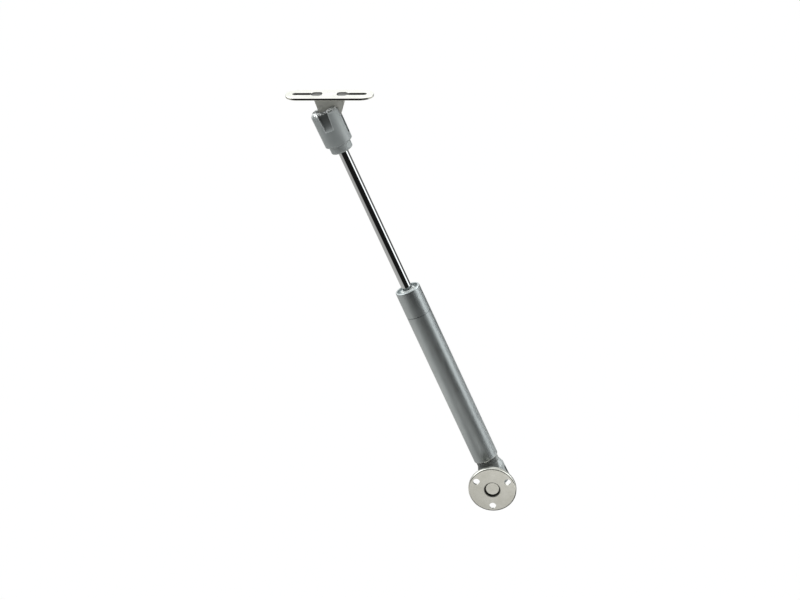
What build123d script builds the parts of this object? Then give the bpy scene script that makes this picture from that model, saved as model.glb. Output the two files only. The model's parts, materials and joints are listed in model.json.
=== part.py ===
from build123d import *
import math
import os

# Gas spring lid stay, drawn fully extended.
# The origin is the middle of the round cabinet plate's wall face.
# X runs along the door plate, Y points away from the cabinet wall and Z points up.
# Inside the functions a strut piece lies along Z, measured from the lower pivot.

# Strut
lean_angle = 21.3
tube_visible = 101.6
collar_length = 16.8
rod_exposed = 92.5

# Tube and collar
tube_bore = 12.4
tube_neck_wall = 0.6
collar_bore_clearance = 0.05
collar_wall = 0.65
tube_lip = 1.2
tube_lip_width = 0.6
tube_edge_rounding = 0.7
roll_lip = 0.6
roll_lip_width = 1.2
collar_gap = 0.3
collar_rim_width = 1.1
collar_recess_depth = 1.6
collar_floor = 1.0
collar_rod_clearance = 0.3
collar_edge_rounding = 0.5

# Rod, piston and seals
rod_diameter = 6.0
rod_thread_step = 0.5
rod_tail_step = 1.0
rod_running_fit = 0.04
seal_running_fit = 0.05
stop_gap = 0.3
piston_clearance = 0.3
piston_length = 5.5
piston_ring_width = 1.8
piston_ring_depth = 1.2
piston_ring_play = 0.05
piston_washer_inset = 0.7
piston_washer_thickness = 0.8
metering_hole_diameter = 1.0
piston_nut_wall = 1.5
piston_nut_height = 2.6
rod_tail_end = 0.6
retaining_ring_offset = 2.0
retaining_ring_height = 0.8
retaining_ring_width = 1.3
retaining_groove_depth = 0.25
retaining_ring_gap = 3.0
support_washer_thickness = 1.0
seal_length = 4.0
seal_lip_depth = 1.6
seal_lip_thickness = 0.8
wiper_height = 1.0
wiper_width = 1.6

# End plug
plug_length = 7.0
plug_stud_diameter = 5.8
plug_seal_section = 1.6
plug_seal_squeeze = 0.15
plug_clearance = 0.05

# Door lug, which sets the slots of the moulded sockets
lug_thickness = 2.4
lug_tip_radius = 3.8
lug_clearance = 0.3
lug_swing_room = 3.0

# Moulded sockets
socket_diameter = 17.0
socket_draft = 0.3
socket_neck_rounding = 1.0
socket_edge_rounding = 0.6
slot_mouth_rounding = 0.5
thread_wall = 1.4
thread_clearance = 0.05
thread_end_gap = 0.6
rod_socket_depth = 2.0
spigot_clearance = 0.1
upper_reach = 11.1
upper_body = 10.5
upper_shoulder = 0.9
upper_neck = 4.3
upper_neck_diameter = 13.0
upper_end_rounding = 2.8
lower_reach = 5.2
lower_body = 6.4
lower_shoulder = 3.4
lower_neck = 3.4
lower_neck_diameter = 13.6
lower_end_rounding = 3.0

# Pivots
pin_diameter = 5.0
pin_length = 8.4
pin_chamfer = 0.4
pin_fit = 0.1
pin_end_play = 0.2

# Upper socket's pin cavity and the flats beside it
cavity_clearance = 0.2
cavity_rim_rounding = 0.7
seat_lip = 1.2
flat_end_width = 6.4
flat_runout_width = 4.6
flat_wall = 1.0
flat_runout_place = 0.9
flat_runout_radius = 8.0

# Lower socket's stud channel
channel_corner_radius = 1.2
snap_ridge_radius = 0.35
snap_ridge_offset = 0.25

# Cabinet plate and its stud
cabinet_plate_diameter = 28.7
cabinet_plate_thickness = 2.5
cabinet_plate_rounding = 0.9
cabinet_plate_back_rounding = 0.3
cabinet_hole_count = 3
cabinet_hole_margin = 3.65
cabinet_hole_diameter = 4.0
cabinet_sink_width = 1.3
cabinet_sink_depth = 1.3
rivet_recess_width = 0.65
rivet_recess_depth = 1.9
rivet_head_diameter = 8.1
rivet_head_thickness = 0.4
rivet_head_rounding = 0.25
stud_shank_diameter = 5.0
stud_shoulder_width = 1.5
stud_shoulder_length = 7.0
stud_shoulder_gap = 0.4

# Door plate
door_plate_length = 50.6
door_plate_width = 14.8
door_plate_thickness = 1.5
door_plate_rounding = 0.35
door_plate_height = 19.2
door_slot_margin = 3.95
door_slot_width = 3.6
door_slot_overlap = 0.5
lug_top_width = 18.8
tenon_inset = 0.2
tenon_length = 4.2
tenon_recess_inner = 0.8
tenon_recess_outer = 1.1
tenon_recess_width = 6.2
tenon_recess_depth = 0.8
tenon_recess_rounding = 2.0
tenon_head_gap = 0.4
tenon_head_thickness = 0.3

# Diameters that follow from the sizes above
tube_neck_diameter = tube_bore + 2 * tube_neck_wall
tube_diameter = tube_neck_diameter + 2 * collar_bore_clearance + 2 * collar_wall
tube_lip_bore = tube_bore - 2 * tube_lip_width
roll_lip_bore = tube_bore - 2 * roll_lip_width
rod_thread_diameter = rod_diameter - 2 * rod_thread_step
rod_tail_diameter = rod_diameter - 2 * rod_tail_step
piston_diameter = tube_bore - 2 * piston_clearance
piston_groove_diameter = piston_diameter - 2 * piston_ring_depth
pin_seat_radius = pin_diameter / 2 + pin_fit
cavity_radius = math.hypot(pin_diameter / 2 - pin_chamfer, pin_length / 2) + cavity_clearance
lug_slot_width = lug_thickness + 2 * lug_clearance
upper_slot_depth = lug_tip_radius + lug_swing_room
stud_head_diameter = 2 * lug_tip_radius
lower_slot_depth = stud_head_diameter / 2 + lug_clearance

# Stations along the strut from the lower pivot, and the strut's distance from the wall
tube_start = lower_body + lower_shoulder + lower_neck
tube_joint = tube_start + tube_visible
collar_end = tube_joint + collar_length
upper_neck_end = upper_body + upper_shoulder + upper_neck
upper_pivot = collar_end + rod_exposed + upper_neck_end
collar_floor_top = collar_end - collar_recess_depth
tube_end = collar_floor_top - collar_floor
ring_groove = tube_joint - retaining_ring_offset
ring_seat = ring_groove - retaining_ring_height
support_washer_end = ring_groove + support_washer_thickness
seal_end = support_washer_end + seal_length
piston_stop = ring_seat - stop_gap
piston_top = piston_stop - piston_washer_thickness
piston_bottom = piston_top - piston_length
plug_start = tube_start + tube_lip
upper_bore_end = upper_slot_depth + thread_wall
lower_bore_end = lower_slot_depth + thread_wall
stud_shoulder_end = cabinet_plate_thickness + stud_shoulder_length
strut_offset = stud_shoulder_end + stud_shoulder_gap + socket_diameter / 2

# Places along the door plate, from its middle
tenon_end = lug_top_width / 2 - tenon_inset
tenon_start = tenon_end - tenon_length
recess_start = tenon_start - tenon_recess_inner
recess_end = tenon_end + tenon_recess_outer
door_slot_start = recess_end - door_slot_overlap
door_slot_end = door_plate_length / 2 - door_slot_margin


def along_strut(piece):
    """Lay a piece drawn along Z on the leaning strut axis."""
    return Pos(0, strut_offset, 0) * Rotation(0, -lean_angle, 0) * piece


def turned(points):
    """Revolve a closed outline of (radius, height) points round Z."""
    face = make_face(Polyline(*[(r, 0, z) for r, z in points], close=True))
    return revolve(face, axis=Axis.Z)


def bar(radius, start, end):
    """Plain round bar between two heights."""
    return Pos(0, 0, start) * Cylinder(radius, end - start, align=(Align.CENTER, Align.CENTER, Align.MIN))


def ring(outer, inner, start, end):
    """Plain ring between two heights."""
    return bar(outer, start, end) - bar(inner, start - 1, end + 1)


def cylinder_tube():
    """Drawn tube with a turned-down neck and both ends rolled in."""
    outer = tube_diameter / 2
    bore = tube_bore / 2
    neck = tube_neck_diameter / 2
    tube = turned([
        (tube_lip_bore / 2, tube_start),
        (outer, tube_start),
        (outer, tube_joint),
        (neck, tube_joint),
        (neck, tube_end),
        (roll_lip_bore / 2, tube_end),
        (roll_lip_bore / 2, tube_end - roll_lip),
        (bore, tube_end - roll_lip),
        (bore, plug_start),
        (tube_lip_bore / 2, plug_start),
    ])
    start_edges = tube.edges().filter_by(GeomType.CIRCLE).group_by(Axis.Z)[0]
    tube = fillet(start_edges.sort_by(SortBy.RADIUS)[-1], tube_edge_rounding)
    groove = ring(bore + retaining_groove_depth, bore - 1, ring_seat, ring_groove)
    return tube - groove


def end_plug():
    """Turned plug in the tube's closed end, with a stud that holds the lower socket."""
    radius = tube_bore / 2 - plug_clearance
    plug = bar(radius, plug_start, plug_start + plug_length)
    middle = plug_start + plug_length / 2
    depth = plug_seal_section - plug_seal_squeeze
    half = plug_seal_section / 2 + plug_clearance
    plug -= ring(radius + 1, tube_bore / 2 - depth, middle - half, middle + half)
    stud = bar(plug_stud_diameter / 2, lower_bore_end + thread_end_gap, plug_start)
    return plug + stud


def end_plug_seal():
    """Rubber ring squeezed between plug and tube."""
    depth = plug_seal_section - plug_seal_squeeze
    radius = tube_bore / 2 - depth / 2
    middle = plug_start + plug_length / 2
    profile = Pos(radius, 0, middle) * Rotation(90, 0, 0) * Ellipse(depth / 2, plug_seal_section / 2)
    return revolve(profile, axis=Axis.Z)


def collar():
    """Cap over the tube's neck, with a sunken floor round the rod."""
    outer = tube_diameter / 2
    bore = tube_neck_diameter / 2 + collar_bore_clearance
    rim = outer - collar_rim_width
    hole = rod_diameter / 2 + collar_rod_clearance
    cap = turned([
        (bore, tube_joint + collar_gap),
        (outer, tube_joint + collar_gap),
        (outer, collar_end),
        (rim, collar_end),
        (rim, collar_floor_top),
        (hole, collar_floor_top),
        (hole, tube_end),
        (bore, tube_end),
    ])
    end_edges = cap.edges().filter_by(GeomType.CIRCLE).group_by(Axis.Z)[-1]
    return fillet(end_edges.sort_by(SortBy.RADIUS)[-1], collar_edge_rounding)


def wiper_ring():
    """Scraper ring standing on the collar's floor round the rod."""
    inner = rod_diameter / 2 + seal_running_fit
    outer = inner + wiper_width
    wiper = ring(outer, inner, collar_floor_top, collar_floor_top + wiper_height)
    top_edges = wiper.edges().filter_by(GeomType.CIRCLE).group_by(Axis.Z)[-1]
    return chamfer(top_edges.sort_by(SortBy.RADIUS)[-1], wiper_height / 2)


def rod_guide():
    """Bush that guides the rod below the tube's rolled end."""
    outer = tube_bore / 2
    inner = rod_diameter / 2 + rod_running_fit
    return ring(outer, inner, seal_end, tube_end - roll_lip)


def rod_seal():
    """Lip seal with its open side toward the gas."""
    outer = tube_bore / 2
    inner = rod_diameter / 2 + seal_running_fit
    seal = ring(outer, inner, support_washer_end, seal_end)
    lips = ring(outer - seal_lip_thickness, inner + seal_lip_thickness,
                support_washer_end - 1, support_washer_end + seal_lip_depth)
    return seal - lips


def support_washer():
    """Washer between the seal and the retaining ring."""
    inner = rod_diameter / 2 + collar_rod_clearance
    return ring(tube_bore / 2, inner, ring_groove, support_washer_end)


def retaining_ring():
    """Split ring sprung into the tube's groove, which is also the rod's outer stop."""
    outer = tube_bore / 2 + retaining_groove_depth
    split = Pos(outer, 0, ring_seat) * Box(outer, retaining_ring_gap, outer)
    return ring(outer, outer - retaining_ring_width, ring_seat, ring_groove) - split


def piston_rod():
    """Plated rod with a reduced end for the upper socket and a stepped tail for the piston."""
    rod_end = upper_pivot - upper_neck_end + rod_socket_depth
    thread_end = upper_pivot - upper_bore_end - thread_end_gap
    tail_end = piston_bottom - piston_nut_height - rod_tail_end
    rod = bar(rod_diameter / 2, piston_stop, rod_end)
    rod += bar(rod_thread_diameter / 2, rod_end, thread_end)
    rod += bar(rod_tail_diameter / 2, tail_end, piston_stop)
    return rod


def piston_washer():
    """Washer clamped between the rod's step and the piston."""
    return ring(piston_diameter / 2 - piston_washer_inset, rod_tail_diameter / 2, piston_top, piston_stop)


def piston():
    """Piston with a ring groove and one metering hole that slows the stroke."""
    outer = piston_diameter / 2
    body = ring(outer, rod_tail_diameter / 2, piston_bottom, piston_top)
    middle = (piston_bottom + piston_top) / 2
    half = piston_ring_width / 2 + piston_ring_play
    body -= ring(outer + 1, piston_groove_diameter / 2, middle - half, middle + half)
    hole_radius = (rod_tail_diameter + piston_groove_diameter) / 4
    hole = Pos(hole_radius, 0, 0) * bar(metering_hole_diameter / 2, piston_bottom - 1, piston_top + 1)
    return body - hole


def piston_ring():
    """Ring that slides in the tube while the piston can turn inside it."""
    outer = tube_bore / 2 - piston_ring_play
    inner = piston_groove_diameter / 2 + piston_ring_play
    middle = (piston_bottom + piston_top) / 2
    return ring(outer, inner, middle - piston_ring_width / 2, middle + piston_ring_width / 2)


def piston_nut():
    """Hexagon nut that clamps the piston on the rod's tail."""
    profile = RegularPolygon(rod_tail_diameter / 2 + piston_nut_wall, 6, major_radius=False)
    nut = extrude(Pos(0, 0, piston_bottom - piston_nut_height) * profile, piston_nut_height)
    return nut - bar(rod_tail_diameter / 2, piston_bottom - piston_nut_height - 1, piston_bottom + 1)


def socket_blank(reach, body, shoulder, neck, neck_end, end_rounding):
    """Turned outside of a socket: round head, shoulder and neck. The pivot is at the origin."""
    radius = socket_diameter / 2
    blank = turned([
        (0, -reach),
        (radius, -reach),
        (radius - socket_draft, body),
        (neck, body + shoulder),
        (neck, neck_end),
        (0, neck_end),
    ])
    rims = blank.edges().filter_by(GeomType.CIRCLE).group_by(Axis.Z)
    blank = fillet(rims[0], end_rounding)
    shoulder_edge = blank.edges().filter_by(GeomType.CIRCLE).filter_by_position(Axis.Z, body / 2, body + 0.01)
    return fillet(shoulder_edge, socket_edge_rounding)


def half_mouth(half, reach, depth, rounding):
    """Half outline of an opening from above the socket's end to a depth, with a rounded mouth."""
    wide = half + rounding
    above = -reach - socket_diameter
    knee = rounding * (1 - math.sqrt(0.5))
    sides = [
        Line((0, above), (wide, above)),
        Line((wide, above), (wide, -reach)),
        ThreePointArc((wide, -reach), (half + knee, knee - reach), (half, rounding - reach)),
        Line((half, rounding - reach), (half, depth)),
        Line((half, depth), (0, depth)),
        Line((0, depth), (0, above)),
    ]
    return Plane.XZ * make_face(sides)


def end_slot(width, reach, depth):
    """Slot through the head along Y, from the end down to a depth past the pivot."""
    half = extrude(half_mouth(width / 2, reach, depth, slot_mouth_rounding), socket_diameter, both=True)
    return half + mirror(half, Plane.YZ)


def lug_slot(reach, depth):
    """Slot through the head along X for a lug."""
    return Rotation(0, 0, 90) * end_slot(lug_slot_width, reach, depth)


def stud_channel():
    """Channel that takes the stud's neck from the lower socket's end to its seat, with snap ridges."""
    channel = end_slot(2 * pin_seat_radius, lower_reach, pin_seat_radius)
    channel = fillet(channel.edges().filter_by(Axis.Y).group_by(Axis.Z)[-1], channel_corner_radius)
    for side in (-1, 1):
        ridge = Cylinder(snap_ridge_radius, 2 * socket_diameter, rotation=(90, 0, 0))
        channel -= Pos(side * pin_seat_radius, 0, -pin_seat_radius - snap_ridge_offset) * ridge
    return channel


def pin_cavity():
    """Round cavity in the upper socket's end, with the pin's seat, whose mouth is narrower than the pin."""
    outline = half_mouth(cavity_radius, upper_reach, -seat_lip, cavity_rim_rounding)
    seat = Cylinder(pin_seat_radius, pin_length + 2 * pin_end_play, rotation=(90, 0, 0))
    return revolve(outline, axis=Axis.Z) + seat


def side_flat():
    """Recess in the side of the upper head, open at the end, whose floor runs out in an arc."""
    floor = cavity_radius + flat_wall
    depth = socket_diameter / 2 - floor
    radius = flat_runout_radius
    arc_start = flat_runout_place - math.sqrt(2 * radius * depth - depth ** 2)
    arc = Pos(0, floor + radius, arc_start) * Cylinder(radius, flat_end_width, rotation=(0, 90, 0))
    straight = Pos(0, floor, arc_start) * Box(flat_end_width, 2 * radius, 2 * upper_reach,
                                              align=(Align.CENTER, Align.MIN, Align.MAX))
    narrow = flat_runout_width / 2
    wide = flat_end_width / 2
    sides = make_face(Polyline((-narrow, flat_runout_place), (narrow, flat_runout_place),
                               (wide, -upper_reach), (-wide, -upper_reach), close=True))
    return (arc + straight) & extrude(Plane.XZ * sides, socket_diameter, both=True)


def lower_socket():
    """Socket screwed on the plug's stud, with a spigot in the tube's rolled end."""
    body = socket_blank(lower_reach, lower_body, lower_shoulder, lower_neck_diameter / 2,
                        tube_start, lower_end_rounding)
    body = body - lug_slot(lower_reach, lower_slot_depth) - stud_channel()
    body += bar(tube_lip_bore / 2 - spigot_clearance, tube_start, plug_start - spigot_clearance)
    return body - bar(plug_stud_diameter / 2 + thread_clearance, lower_bore_end, plug_start + 1)


def upper_socket():
    """Longer socket screwed on the rod, drawn turned over."""
    body = socket_blank(upper_reach, upper_body, upper_shoulder, upper_neck_diameter / 2,
                        upper_neck_end, upper_end_rounding)
    neck_edges = body.edges().filter_by(GeomType.CIRCLE).group_by(Axis.Z)[-1]
    body = fillet(neck_edges, socket_neck_rounding)
    body = body - lug_slot(upper_reach, upper_slot_depth) - pin_cavity()
    body = body - side_flat() - Rotation(0, 0, 180) * side_flat()
    body -= bar(rod_thread_diameter / 2 + thread_clearance, upper_bore_end, upper_neck_end)
    body -= bar(rod_diameter / 2 + thread_clearance, upper_neck_end - rod_socket_depth, upper_neck_end + 1)
    return Pos(0, 0, upper_pivot) * Rotation(0, 180, 0) * body


def cabinet_plate():
    """Round plate with three countersunk screw holes and a recess for the riveted stud."""
    plate = bar(cabinet_plate_diameter / 2, 0, cabinet_plate_thickness)
    rims = plate.edges().filter_by(GeomType.CIRCLE).group_by(Axis.Z)
    plate = fillet(rims[0], cabinet_plate_rounding)
    back_rim = plate.edges().filter_by(GeomType.CIRCLE).group_by(Axis.Z)[-1]
    plate = fillet(back_rim, cabinet_plate_back_rounding)
    plate -= bar(rivet_head_diameter / 2 + rivet_recess_width, -1, rivet_recess_depth)
    plate -= bar(stud_shank_diameter / 2, -1, cabinet_plate_thickness + 1)
    sink_start = cabinet_plate_thickness - cabinet_sink_depth
    circle_radius = cabinet_plate_diameter / 2 - cabinet_hole_margin
    hole = cabinet_hole_diameter / 2
    for index in range(cabinet_hole_count):
        angle = math.radians(90 + index * 360 / cabinet_hole_count)
        place = Pos(circle_radius * math.cos(angle), circle_radius * math.sin(angle), 0)
        plate -= place * bar(hole, -1, cabinet_plate_thickness + 1)
        sink = Cone(hole, hole + cabinet_sink_width, cabinet_sink_depth,
                    align=(Align.CENTER, Align.CENTER, Align.MIN))
        plate -= place * Pos(0, 0, sink_start) * sink
    return Rotation(-90, 0, 0) * plate


def cabinet_stud():
    """Stepped stud riveted in the plate, whose head turns in the lower socket's lug slot."""
    shank = stud_shank_diameter / 2
    shoulder = shank + stud_shoulder_width
    neck = pin_diameter / 2
    head_start = strut_offset - lug_slot_width / 2 + lug_clearance
    head_end = strut_offset + lug_slot_width / 2 - lug_clearance
    rivet_face = rivet_recess_depth - rivet_head_thickness
    stud = turned([
        (0, rivet_face),
        (rivet_head_diameter / 2, rivet_face),
        (rivet_head_diameter / 2, rivet_recess_depth),
        (shank, rivet_recess_depth),
        (shank, cabinet_plate_thickness),
        (shoulder, cabinet_plate_thickness),
        (shoulder, stud_shoulder_end),
        (neck, stud_shoulder_end),
        (neck, head_start),
        (stud_head_diameter / 2, head_start),
        (stud_head_diameter / 2, head_end),
        (0, head_end),
    ])
    stud = fillet(stud.edges().filter_by(GeomType.CIRCLE).group_by(Axis.Z)[0], rivet_head_rounding)
    return Rotation(-90, 0, 0) * stud


def tenon_recess(side, gap):
    """Outline of the recess round a lug tenon, drawn in by a gap."""
    length = recess_end - recess_start
    middle = (recess_end + recess_start) / 2
    return Pos(side * middle, 0) * RectangleRounded(
        length - 2 * gap, tenon_recess_width - 2 * gap, tenon_recess_rounding - gap)


def tenon(side):
    """Outline of one of the lug's tenons, seen from above."""
    return Pos(side * (tenon_start + tenon_end) / 2, 0) * Rectangle(tenon_length, lug_thickness)


def door_plate():
    """Flat plate with round ends, two screw slots and two recesses for the lug's tenons."""
    under = Pos(0, 0, door_plate_height - door_plate_thickness)
    plate = extrude(under * SlotOverall(door_plate_length, door_plate_width), door_plate_thickness)
    rims = plate.edges().group_by(Axis.Z)
    plate = fillet(rims[0] + rims[-1], door_plate_rounding)
    slot_length = door_slot_end - door_slot_start
    slot_middle = (door_slot_end + door_slot_start) / 2
    floor = Pos(0, 0, door_plate_height - tenon_recess_depth)
    for side in (-1, 1):
        slot = Pos(side * slot_middle, 0) * SlotOverall(slot_length, door_slot_width)
        plate -= extrude(under * slot, door_plate_thickness)
        plate -= extrude(floor * tenon_recess(side, 0), tenon_recess_depth)
        plate -= extrude(under * tenon(side), door_plate_thickness)
    return plate


def door_lug():
    """Tapered lug with a round tip about the pin and two tenons peened over in the plate."""
    top = door_plate_height - door_plate_thickness
    half = lug_top_width / 2
    reach = math.hypot(half, top)
    tangent = math.atan2(half, top) + math.acos(lug_tip_radius / reach)
    touch_x = lug_tip_radius * math.sin(tangent)
    touch_z = lug_tip_radius * math.cos(tangent)
    sides = [
        Line((-half, 0, top), (half, 0, top)),
        Line((half, 0, top), (touch_x, 0, touch_z)),
        ThreePointArc((touch_x, 0, touch_z), (0, 0, -lug_tip_radius), (-touch_x, 0, touch_z)),
        Line((-touch_x, 0, touch_z), (-half, 0, top)),
    ]
    lug = extrude(make_face(sides), lug_thickness / 2, dir=(0, 1, 0), both=True)
    head_start = door_plate_height - tenon_recess_depth
    for side in (-1, 1):
        lug += extrude(Pos(0, 0, top) * tenon(side), head_start - top)
        lug += extrude(Pos(0, 0, head_start) * tenon_recess(side, tenon_head_gap), tenon_head_thickness)
    return lug - Cylinder(pin_diameter / 2, 2 * lug_thickness, rotation=(90, 0, 0))


def door_pin():
    """Cross pin pressed through the lug."""
    pin = Cylinder(pin_diameter / 2, pin_length, rotation=(90, 0, 0))
    return chamfer(pin.edges().filter_by(GeomType.CIRCLE), pin_chamfer)


def at_upper_pivot(piece):
    """Carry a door bracket piece, drawn about its pin, to the upper pivot."""
    lean = math.radians(lean_angle)
    return Pos(-upper_pivot * math.sin(lean), strut_offset, upper_pivot * math.cos(lean)) * piece


pieces = {
    "cabinet_plate": cabinet_plate(),
    "cabinet_stud": cabinet_stud(),
    "lower_socket": along_strut(lower_socket()),
    "cylinder_tube": along_strut(cylinder_tube()),
    "end_plug": along_strut(end_plug()),
    "end_plug_seal": along_strut(end_plug_seal()),
    "collar": along_strut(collar()),
    "wiper_ring": along_strut(wiper_ring()),
    "rod_guide": along_strut(rod_guide()),
    "rod_seal": along_strut(rod_seal()),
    "support_washer": along_strut(support_washer()),
    "retaining_ring": along_strut(retaining_ring()),
    "piston_rod": along_strut(piston_rod()),
    "piston_washer": along_strut(piston_washer()),
    "piston": along_strut(piston()),
    "piston_ring": along_strut(piston_ring()),
    "piston_nut": along_strut(piston_nut()),
    "upper_socket": along_strut(upper_socket()),
    "door_plate": at_upper_pivot(door_plate()),
    "door_lug": at_upper_pivot(door_lug()),
    "door_pin": at_upper_pivot(door_pin()),
}

os.makedirs("parts", exist_ok=True)
for name, shape in pieces.items():
    export_step(shape, f"parts/{name}.step")
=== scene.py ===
import json
import math
import bpy
from mathutils import Matrix, Vector

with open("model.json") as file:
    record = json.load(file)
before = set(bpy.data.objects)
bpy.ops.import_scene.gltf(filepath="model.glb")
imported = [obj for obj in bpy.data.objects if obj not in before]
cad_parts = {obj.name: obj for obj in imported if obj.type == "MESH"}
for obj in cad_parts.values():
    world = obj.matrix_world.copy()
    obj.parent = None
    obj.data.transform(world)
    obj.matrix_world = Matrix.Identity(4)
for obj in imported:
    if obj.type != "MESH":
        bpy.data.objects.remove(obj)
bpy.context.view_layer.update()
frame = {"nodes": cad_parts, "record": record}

# View of the photograph
camera_azimuth = 7.74
camera_elevation = 23.93
camera_roll = -2.71
camera_distance = 1.455
camera_aim = Vector((-0.0524, 0.0184, 0.1151))
focal_pixels = 2485.6
image_width = 800
sensor_width = 36.0

# Places on the stay where the materials paint shade and highlights
lean_angle = 21.3
pivot_depth = 0.0184
upper_pivot_x = -0.0871076
door_plate_top = 0.2426196
door_marks_start = 0.0042
door_marks_reach = 0.0214
groove_radius = 0.00475
sheared_radius = 0.0138
neck_foot = 0.0066
flat_foot = 0.2389
socket_end = 0.2509
tube_foot = 0.0132

# Studio. Azimuth 0 is in front of the stay, 90 at its right.
floor_height = -0.14
floor_half = 6.0
room_levels = [(-180, 1.45), (-140, 0.9), (-100, 0.6), (-45, 0.3), (-25, 0.02), (50, 0.012), (68, 0.03),
               (104, 0.26), (125, 0.26), (150, 0.3), (168, 1.4), (180, 1.45)]
ceiling_level = 1.0
ceiling_start = 18
ceiling_full = 60
# Each softbox: first and last azimuth, lowest and highest elevation, level
softboxes = [(73, 99, -25, 50, 2.0), (98, 136, 8, 50, 3.4), (35, 76, 10, 55, 0.75), (-140, -55, 12, 60, 2.2)]
softbox_edge = 2
# Paper sheet on the floor as the object's gloss sees it
paper_front = -0.45
paper_back = 0.25
paper_left = -0.33
paper_right = 0.4
paper_fade = 0.08
paper_level = 0.6
front_paper_level = 1.2
left_paper_level = 0.95
under_stay_shadow_level = 0.12
side_paper_level = 0.58
back_paper_level = 0.5
right_floor_level = 1.0
bare_floor_level = 0.015


def view_axes(azimuth, elevation):
    """Right, up and forward directions of a level camera."""
    a = math.radians(azimuth)
    e = math.radians(elevation)
    forward = Vector((-math.sin(a) * math.cos(e), math.cos(a) * math.cos(e), -math.sin(e)))
    right = Vector((math.cos(a), math.sin(a), 0))
    return right, right.cross(forward), forward


def place_camera():
    """Camera at the photograph's angle, distance and focal length."""
    right, up, forward = view_axes(camera_azimuth, camera_elevation)
    turn = Matrix.Rotation(-math.radians(camera_roll), 3, forward)
    right = turn @ right
    up = turn @ up
    data = bpy.data.cameras.new("camera")
    data.sensor_width = sensor_width
    data.lens = focal_pixels / image_width * sensor_width
    data.clip_end = 50
    camera = bpy.data.objects.new("camera", data)
    pose = Matrix((right, up, -forward)).transposed().to_4x4()
    pose.translation = camera_aim - forward * camera_distance
    camera.matrix_world = pose
    bpy.context.scene.collection.objects.link(camera)
    bpy.context.scene.camera = camera


def add(tree, kind, values=None, **settings):
    """Add a shader node, set its properties and fill its inputs, linking sockets and writing numbers."""
    made = tree.nodes.new(kind)
    for key, value in settings.items():
        setattr(made, key, value)
    for key, value in (values or {}).items():
        if isinstance(value, bpy.types.NodeSocket):
            tree.links.new(value, made.inputs[key])
        else:
            made.inputs[key].default_value = value
    return made


def band(tree, value, low, high, soft):
    """1 where a value lies between two limits, fading to 0 outside them."""
    rise = add(tree, "ShaderNodeMapRange", {"Value": value, "From Min": low - soft, "From Max": low + soft},
               interpolation_type="SMOOTHSTEP")
    fall = add(tree, "ShaderNodeMapRange", {"Value": value, "From Min": high - soft, "From Max": high + soft,
                                            "To Min": 1, "To Max": 0}, interpolation_type="SMOOTHSTEP")
    return calculate(tree, "MULTIPLY", rise.outputs[0], fall.outputs[0])


def calculate(tree, operation, first, second=0.0):
    """Result of a Math node."""
    return add(tree, "ShaderNodeMath", {0: first, 1: second}, operation=operation).outputs[0]


def step(tree, value, edge, low, high):
    """Smooth change from one level to another about an edge on the floor."""
    return add(tree, "ShaderNodeMapRange", {"Value": value, "From Min": edge - paper_fade, "From Max": edge + paper_fade,
                                            "To Min": low, "To Max": high}, interpolation_type="SMOOTHSTEP").outputs[0]


def make_world():
    """White for the camera. Everything else sees a pale room that is dark in front, with a softbox at the right."""
    world = bpy.data.worlds.new("room")
    bpy.context.scene.world = world
    world.use_nodes = True
    tree = world.node_tree
    tree.nodes.clear()
    direction = add(tree, "ShaderNodeTexCoord").outputs["Generated"]
    axes = add(tree, "ShaderNodeSeparateXYZ", {0: direction})
    toward = calculate(tree, "MULTIPLY", axes.outputs[1], -1.0)
    azimuth = calculate(tree, "DEGREES", calculate(tree, "ARCTAN2", axes.outputs[0], toward))
    elevation = calculate(tree, "DEGREES", calculate(tree, "ARCSINE", axes.outputs[2]))
    ramp = add(tree, "ShaderNodeValToRGB", {0: add(tree, "ShaderNodeMapRange", {
        "Value": azimuth, "From Min": -180, "From Max": 180}).outputs[0]})
    stops = ramp.color_ramp.elements
    while len(stops) > 1:
        stops.remove(stops[-1])
    stops[0].position = 0
    for index, (angle, level) in enumerate(room_levels):
        stop = stops[0] if index == 0 else stops.new((angle + 180) / 360)
        stop.color = (level, level, level, 1)
    walls = ramp.outputs[0]
    ceiling = add(tree, "ShaderNodeMapRange", {"Value": elevation, "From Min": ceiling_start, "From Max": ceiling_full,
                                               "To Min": 0, "To Max": ceiling_level}).outputs[0]
    light = calculate(tree, "ADD", walls, ceiling)
    for first, last, low, high, level in softboxes:
        width = band(tree, azimuth, first, last, softbox_edge)
        height = band(tree, elevation, low, high, 2 * softbox_edge)
        box = calculate(tree, "MULTIPLY", calculate(tree, "MULTIPLY", width, height), level)
        light = calculate(tree, "ADD", light, box)
    path = add(tree, "ShaderNodeLightPath")
    room = add(tree, "ShaderNodeBackground", {"Color": (0.97, 1.0, 1.0, 1), "Strength": light})
    white = add(tree, "ShaderNodeBackground", {"Color": (1, 1, 1, 1), "Strength": 1.0})
    mix = add(tree, "ShaderNodeMixShader", {0: path.outputs["Is Camera Ray"], 1: room.outputs[0], 2: white.outputs[0]})
    add(tree, "ShaderNodeOutputWorld", {"Surface": mix.outputs[0]})


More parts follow.
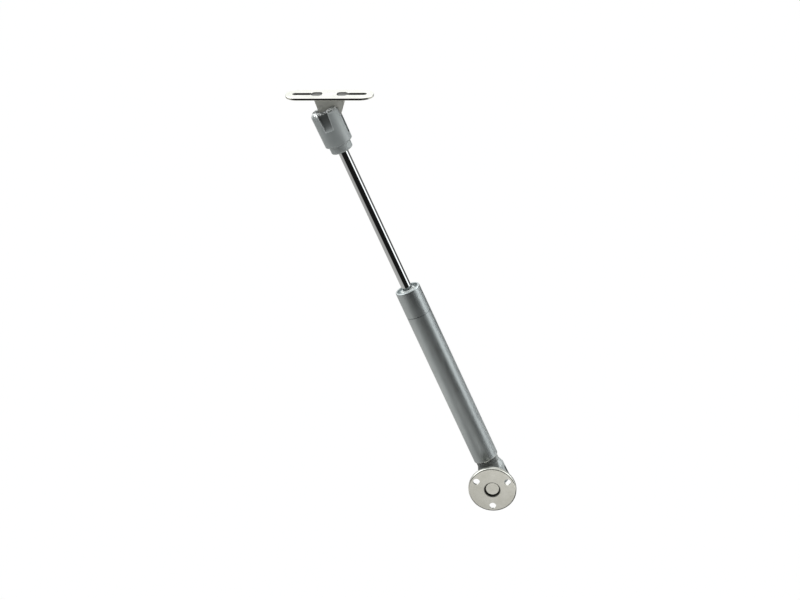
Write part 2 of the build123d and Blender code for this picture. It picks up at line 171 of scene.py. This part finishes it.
def make_floor():
    """Pale floor under the stay: near white for the camera, and a paper sheet that ends in front for reflections."""
    mesh = bpy.data.meshes.new("floor")
    corners = [(-floor_half, -floor_half), (floor_half, -floor_half), (floor_half, floor_half), (-floor_half, floor_half)]
    mesh.from_pydata([(x, y, floor_height) for x, y in corners], [], [(0, 1, 2, 3)])
    floor = bpy.data.objects.new("floor", mesh)
    bpy.context.scene.collection.objects.link(floor)
    material = bpy.data.materials.new("floor_paper")
    material.use_nodes = True
    tree = material.node_tree
    tree.nodes.clear()
    path = add(tree, "ShaderNodeLightPath")
    place = add(tree, "ShaderNodeSeparateXYZ", {0: add(tree, "ShaderNodeTexCoord").outputs["Object"]})
    slope = add(tree, "ShaderNodeMapRange", {"Value": place.outputs[1], "From Min": -0.4, "From Max": -0.24,
                                             "To Min": front_paper_level, "To Max": paper_level}).outputs[0]
    tilt = add(tree, "ShaderNodeMapRange", {"Value": place.outputs[0], "From Min": -0.14, "From Max": 0.02,
                                            "To Min": 0.66, "To Max": 1.16}).outputs[0]
    slope = both(tree, slope, tilt)
    left = step(tree, place.outputs[0], -0.17, left_paper_level, slope)
    near = step(tree, place.outputs[1], -0.22, slope, left)
    near = step(tree, place.outputs[1], paper_back, near, back_paper_level)
    # Painted shadow: for reflections, the floor under the stay is darkened to a low level.
    under_stay_shadow = both(tree, band(tree, place.outputs[0], -0.1, 0.25, 0.04), band(tree, place.outputs[1], -0.15, 0.2, 0.03))
    near = add(tree, "ShaderNodeMapRange", {"Value": under_stay_shadow, "To Min": near, "To Max": under_stay_shadow_level}).outputs[0]
    across = step(tree, place.outputs[0], paper_left, side_paper_level, near)
    sheet = step(tree, place.outputs[1], paper_front, bare_floor_level, across)
    near_right = both(tree, band(tree, place.outputs[0], 0.2, 1.1, 0.1), band(tree, place.outputs[1], -0.3, 0.9, 0.08))
    right = add(tree, "ShaderNodeMapRange", {"Value": near_right, "To Min": bare_floor_level,
                                             "To Max": right_floor_level}).outputs[0]
    sheet = step(tree, place.outputs[0], paper_right, sheet, right)
    paper = add(tree, "ShaderNodeBsdfDiffuse", {"Color": (0.6, 0.6, 0.6, 1)})
    seen = add(tree, "ShaderNodeEmission", {"Color": (1, 1, 1, 1), "Strength": 1.0})
    mirrored = add(tree, "ShaderNodeEmission", {"Color": (1, 1, 0.97, 1), "Strength": sheet})
    shown = add(tree, "ShaderNodeMixShader", {0: calculate(tree, "MULTIPLY", path.outputs["Is Camera Ray"], 0.93),
                                              1: paper.outputs[0], 2: seen.outputs[0]})
    mix = add(tree, "ShaderNodeMixShader", {0: path.outputs["Is Glossy Ray"], 1: shown.outputs[0],
                                            2: mirrored.outputs[0]})
    add(tree, "ShaderNodeOutputMaterial", {"Surface": mix.outputs[0]})
    mesh.materials.append(material)


def new_material(name):
    """A material with its Principled shader, and coordinates whose Z runs along the strut."""
    material = bpy.data.materials.new(name)
    material.use_nodes = True
    tree = material.node_tree
    shader = tree.nodes["Principled BSDF"]
    place = add(tree, "ShaderNodeTexCoord")
    along = add(tree, "ShaderNodeMapping", {"Vector": place.outputs["Object"]})
    along.inputs["Rotation"].default_value = (0, math.radians(lean_angle), 0)
    return material, tree, shader, along.outputs[0]


def stretched(tree, vector, scale):
    """Coordinates scaled by a different factor on each axis."""
    return add(tree, "ShaderNodeMapping", {"Vector": vector, "Scale": scale}).outputs[0]


def noise(tree, vector, scale, detail=4.0, roughness=0.55):
    """Noise between 0 and 1 at a scale in cycles per metre."""
    return add(tree, "ShaderNodeTexNoise", {"Vector": vector, "Scale": scale, "Detail": detail,
                                            "Roughness": roughness}).outputs["Fac"]


def remap(tree, value, low, high, start=0.3, end=0.7):
    """Spread a noise value between two results."""
    return add(tree, "ShaderNodeMapRange", {"Value": value, "From Min": start, "From Max": end,
                                            "To Min": low, "To Max": high}).outputs[0]


def blend_colours(tree, share, first, second):
    """Mix two colours by a value."""
    mix = add(tree, "ShaderNodeMix", data_type="RGBA")
    tree.links.new(share, mix.inputs[0])
    for index, colour in ((6, first), (7, second)):
        if isinstance(colour, bpy.types.NodeSocket):
            tree.links.new(colour, mix.inputs[index])
        else:
            mix.inputs[index].default_value = (*colour, 1)
    return mix.outputs[2]


def bump(tree, shader, height, depth, strength=1.0):
    """Bump of a real depth in metres."""
    made = add(tree, "ShaderNodeBump", {"Height": height, "Distance": depth, "Strength": strength})
    tree.links.new(made.outputs[0], shader.inputs["Normal"])


def parts_of(tree, vector):
    """X, Y and Z of a vector."""
    split = add(tree, "ShaderNodeSeparateXYZ", {0: vector})
    return split.outputs[0], split.outputs[1], split.outputs[2]


def within(tree, value, low, high, soft=0.00005):
    """1 where a length lies between two limits."""
    return band(tree, value, low, high, soft)


def both(tree, first, second):
    """Share where two shares hold."""
    return calculate(tree, "MULTIPLY", first, second)


def grey_paint():
    """Satin grey metallic paint with orange peel, fine flake and rubbed patches. A painted highlight makes a thin band
    at the tube's cut end bright.
    """
    material, tree, shader, along = new_material("grey_paint")
    flake = noise(tree, along, 9000, 2)
    cloud = noise(tree, along, 60, 3)
    rub = noise(tree, stretched(tree, along, (1, 1, 0.3)), 300, 6)
    base = blend_colours(tree, remap(tree, cloud, 0, 1), (0.345, 0.37, 0.374), (0.385, 0.41, 0.414))
    tinted = blend_colours(tree, remap(tree, flake, 0, 0.5), base, (0.51, 0.54, 0.545))
    cut_end_highlight = within(tree, parts_of(tree, along)[2], tube_foot - 0.0002, tube_foot + 0.0006)
    # Painted highlight: a thin near-white band at the tube's cut end.
    tree.links.new(blend_colours(tree, cut_end_highlight, tinted, (0.95, 0.96, 0.95)), shader.inputs["Base Color"])
    tree.links.new(remap(tree, rub, 0.33, 0.41), shader.inputs["Roughness"])
    shader.inputs["Metallic"].default_value = 0.97
    shader.inputs["Coat Weight"].default_value = 0.12
    shader.inputs["Coat Roughness"].default_value = 0.25
    bump(tree, shader, noise(tree, along, 1800, 2), 0.00001, 0.6)
    return material


def upper_shade_and_highlights(tree, along):
    """Shares of painted shade in the upper socket's side flats and of painted highlight on their edges and on the
    socket's end.
    """
    x, y, z = parts_of(tree, along)
    side = calculate(tree, "ABSOLUTE", x)
    depth = calculate(tree, "ABSOLUTE", calculate(tree, "SUBTRACT", y, pivot_depth))
    radius = calculate(tree, "SQRT", calculate(tree, "ADD", calculate(tree, "MULTIPLY", x, x),
                                               calculate(tree, "MULTIPLY", depth, depth)))
    floor = both(tree, within(tree, radius, 0, 0.0081), within(tree, depth, 0.0055, 0.02))
    # Painted shade in the side flats, stronger towards the socket's end.
    reach = add(tree, "ShaderNodeMapRange", {"Value": z, "From Min": flat_foot, "From Max": flat_foot + 0.0086,
                                             "To Min": 0.35, "To Max": 0.85}).outputs[0]
    flat_shade = both(tree, both(tree, floor, within(tree, z, flat_foot - 0.0005, 0.26)), reach)
    edge = add(tree, "ShaderNodeMapRange", {"Value": z, "From Min": flat_foot, "From Max": socket_end,
                                            "To Min": 0.0023, "To Max": 0.0032}).outputs[0]
    # Painted highlight along the side flats' edges.
    rim_highlight = within(tree, calculate(tree, "SUBTRACT", side, edge), -0.0001, 0.0003)
    rim_highlight = both(tree, both(tree, rim_highlight, within(tree, depth, 0.006, 0.02)), within(tree, z, flat_foot, 0.26))
    speckle = remap(tree, noise(tree, along, 900, 3), 0.0, 1.0, 0.44, 0.56)
    # Painted highlight, speckled, on the socket's end.
    end = both(tree, within(tree, z, socket_end - 0.0016, 0.26, 0.0004), speckle)
    return flat_shade, calculate(tree, "MAXIMUM", both(tree, rim_highlight, remap(tree, noise(tree, along, 400, 3), 0.15, 0.6)), end)


def grey_plastic(name, neck_painted_shade=False, painted_light=None):
    """Grey moulded plastic with a fine spark-eroded grain. Painted shade darkens the neck of the lower socket in
    patches.
    """
    material, tree, shader, along = new_material(name)
    cloud = noise(tree, along, 90, 3)
    base = blend_colours(tree, remap(tree, cloud, 0, 1), (0.26, 0.276, 0.275), (0.30, 0.316, 0.315))
    if neck_painted_shade:
        x, y, z = parts_of(tree, along)
        patch = remap(tree, noise(tree, along, 700, 4), 0.75, 1.0)
        place = both(tree, within(tree, z, neck_foot, 0.03, 0.0004), within(tree, x, -0.02, 0.0062, 0.0004))
        # Painted shade: near-black patches on the lower socket's neck.
        base = blend_colours(tree, both(tree, place, patch), base, (0.05, 0.053, 0.05))
    roughness = remap(tree, noise(tree, along, 500, 5), 0.42, 0.5)
    if painted_light:
        flat_shade, edge_highlight = painted_light(tree, along)
        # Painted shade in the upper socket's side flats.
        base = blend_colours(tree, flat_shade, base, (0.045, 0.048, 0.046))
        # Painted highlight on the flats' edges and the socket's end, which are also made less rough.
        base = blend_colours(tree, edge_highlight, base, (0.88, 0.89, 0.88))
        roughness = calculate(tree, "SUBTRACT", roughness, calculate(tree, "MULTIPLY", edge_highlight, 0.15))
    tree.links.new(base, shader.inputs["Base Color"])
    tree.links.new(roughness, shader.inputs["Roughness"])
    shader.inputs["Metallic"].default_value = 0.35
    bump(tree, shader, noise(tree, along, 6000, 3), 0.00001, 0.5)
    return material


def rod_chrome():
    """Hard chrome with very fine rings from grinding."""
    material, tree, shader, along = new_material("rod_chrome")
    rings = noise(tree, stretched(tree, along, (0.02, 0.02, 1)), 9000, 3)
    film = noise(tree, along, 120, 4)
    base = blend_colours(tree, remap(tree, film, 0, 1), (0.56, 0.567, 0.574), (0.61, 0.615, 0.62))
    tree.links.new(base, shader.inputs["Base Color"])
    tree.links.new(remap(tree, film, 0.02, 0.06), shader.inputs["Roughness"])
    shader.inputs["Metallic"].default_value = 1.0
    bump(tree, shader, rings, 0.0000012, 0.5)
    return material


def groove_and_edge_shade(tree, place):
    """Painted shade in the groove round the riveted stud, and half as strongly on the sheared edge of the plate and on
    a ring at the groove's mouth.
    """
    x, y, z = parts_of(tree, place)
    radius = calculate(tree, "SQRT", calculate(tree, "ADD", calculate(tree, "MULTIPLY", x, x),
                                               calculate(tree, "MULTIPLY", z, z)))
    # Painted shade in the groove and at its mouth, and on the plate's edge.
    groove = both(tree, within(tree, radius, -0.001, groove_radius), within(tree, y, 0.0002, 0.0022))
    edge = both(tree, within(tree, radius, sheared_radius, 0.02, 0.0001), within(tree, y, 0.0004, 0.0023, 0.0002))
    edge = calculate(tree, "MULTIPLY", edge, 0.6)
    ring = both(tree, within(tree, radius, groove_radius - 0.0001, groove_radius + 0.0003),
                within(tree, y, -0.001, 0.0003))
    ring = calculate(tree, "MULTIPLY", ring, 0.6)
    return calculate(tree, "MAXIMUM", calculate(tree, "MAXIMUM", groove, edge), ring)


def tenon_recess_shade(tree, place):
    """Where painted shade darkens the door plate's recesses, the lug's peened tenons and the walls of the screw slots.
    """
    x, y, z = parts_of(tree, place)
    across = within(tree, y, pivot_depth - 0.0032, pivot_depth + 0.0032)
    left = within(tree, x, upper_pivot_x - door_marks_reach, upper_pivot_x - door_marks_start)
    right = within(tree, x, upper_pivot_x + door_marks_start, upper_pivot_x + door_marks_reach)
    low = within(tree, z, door_plate_top - 0.00145, door_plate_top - 0.0002)
    return both(tree, both(tree, calculate(tree, "ADD", left, right), across), low)


def nickel(name, painted_light=None, tone=1.0, rough_low=0.16, rough_high=0.26, metal=1.0):
    """Satin nickel over stamped steel, with mottle and hairlines, and painted shade, dull and dark, where a mask is
    given.
    """
    material, tree, shader, along = new_material(name)
    cloud = noise(tree, along, 140, 4)
    hair = noise(tree, stretched(tree, along, (0.15, 1, 1)), 2600, 4)
    dark = tuple(tone * level for level in (0.66, 0.65, 0.59))
    light = tuple(tone * level for level in (0.76, 0.75, 0.70))
    base = blend_colours(tree, remap(tree, cloud, 0, 1), dark, light)
    roughness = remap(tree, hair, rough_low, rough_high)
    shader.inputs["Metallic"].default_value = metal
    if painted_light:
        place = add(tree, "ShaderNodeTexCoord").outputs["Object"]
        share = painted_light(tree, place)
        # Painted shade, dark and rougher, where the mask holds.
        base = blend_colours(tree, share, base, (0.13, 0.13, 0.12))
        roughness = calculate(tree, "ADD", roughness, calculate(tree, "MULTIPLY", share, 0.3))
    tree.links.new(base, shader.inputs["Base Color"])
    tree.links.new(roughness, shader.inputs["Roughness"])
    bump(tree, shader, hair, 0.000004, 0.5)
    return material


def inner_steel():
    """Turned steel with tool rings."""
    material, tree, shader, along = new_material("inner_steel")
    rings = noise(tree, stretched(tree, along, (0.05, 0.05, 1)), 4000, 3)
    base = blend_colours(tree, remap(tree, noise(tree, along, 200, 4), 0, 1), (0.46, 0.46, 0.45), (0.56, 0.56, 0.55))
    tree.links.new(base, shader.inputs["Base Color"])
    tree.links.new(remap(tree, rings, 0.28, 0.42), shader.inputs["Roughness"])
    shader.inputs["Metallic"].default_value = 1.0
    bump(tree, shader, rings, 0.000004, 0.5)
    return material


def seal_rubber():
    """Dull black rubber with a faint bloom."""
    material, tree, shader, along = new_material("seal_rubber")
    bloom = noise(tree, along, 500, 5)
    tree.links.new(blend_colours(tree, remap(tree, bloom, 0, 1), (0.02, 0.02, 0.02), (0.045, 0.045, 0.045)),
                   shader.inputs["Base Color"])
    tree.links.new(remap(tree, bloom, 0.55, 0.75), shader.inputs["Roughness"])
    bump(tree, shader, bloom, 0.00001, 0.4)
    return material


def bearing_plastic():
    """Dark bearing plastic, turned."""
    material, tree, shader, along = new_material("bearing_plastic")
    rings = noise(tree, stretched(tree, along, (0.05, 0.05, 1)), 3500, 3)
    tree.links.new(blend_colours(tree, remap(tree, rings, 0, 1), (0.035, 0.035, 0.037), (0.06, 0.06, 0.062)),
                   shader.inputs["Base Color"])
    tree.links.new(remap(tree, rings, 0.4, 0.55), shader.inputs["Roughness"])
    bump(tree, shader, rings, 0.000006, 0.5)
    return material


def wiper_plastic():
    """Pale moulded scraper ring."""
    material, tree, shader, along = new_material("wiper_plastic")
    cloud = noise(tree, along, 700, 4)
    tree.links.new(blend_colours(tree, remap(tree, cloud, 0, 1), (0.48, 0.5, 0.49), (0.58, 0.6, 0.59)),
                   shader.inputs["Base Color"])
    tree.links.new(remap(tree, cloud, 0.35, 0.5), shader.inputs["Roughness"])
    bump(tree, shader, cloud, 0.00001, 0.4)
    return material


finishes = {
    "grey_paint": grey_paint(),
    "grey_plastic": grey_plastic("grey_plastic"),
    # Painted shade on the lower socket's neck; painted shade and highlights on the upper socket.
    "lower_socket": grey_plastic("grey_plastic_lower", True),
    "upper_socket": grey_plastic("grey_plastic_upper", False, upper_shade_and_highlights),
    "rod_chrome": rod_chrome(),
    "nickel_plate": nickel("nickel_plate"),
    # Painted shade in the door plate's and lug's recesses and in the cabinet plate's groove and edge.
    "door_plate": nickel("nickel_door_plate", tenon_recess_shade, 0.97),
    "door_lug": nickel("nickel_lug", tenon_recess_shade, 1.0, 0.45, 0.58, 0.5),
    "cabinet_plate": nickel("nickel_cabinet_plate", groove_and_edge_shade, 1.04),
    "cabinet_stud": nickel("nickel_stud", None, 1.1),
    "inner_steel": inner_steel(),
    "seal_rubber": seal_rubber(),
    "bearing_plastic": bearing_plastic(),
    "wiper_plastic": wiper_plastic(),
}
slot_of = {part["node"]: part["material_slot"] for part in frame["record"]["subparts"]}
for name, node in frame["nodes"].items():
    for place in node.material_slots:
        place.material = finishes.get(name) or finishes[slot_of[name]]

place_camera()
make_world()
make_floor()

bpy.context.scene.view_settings.view_transform = "Standard"
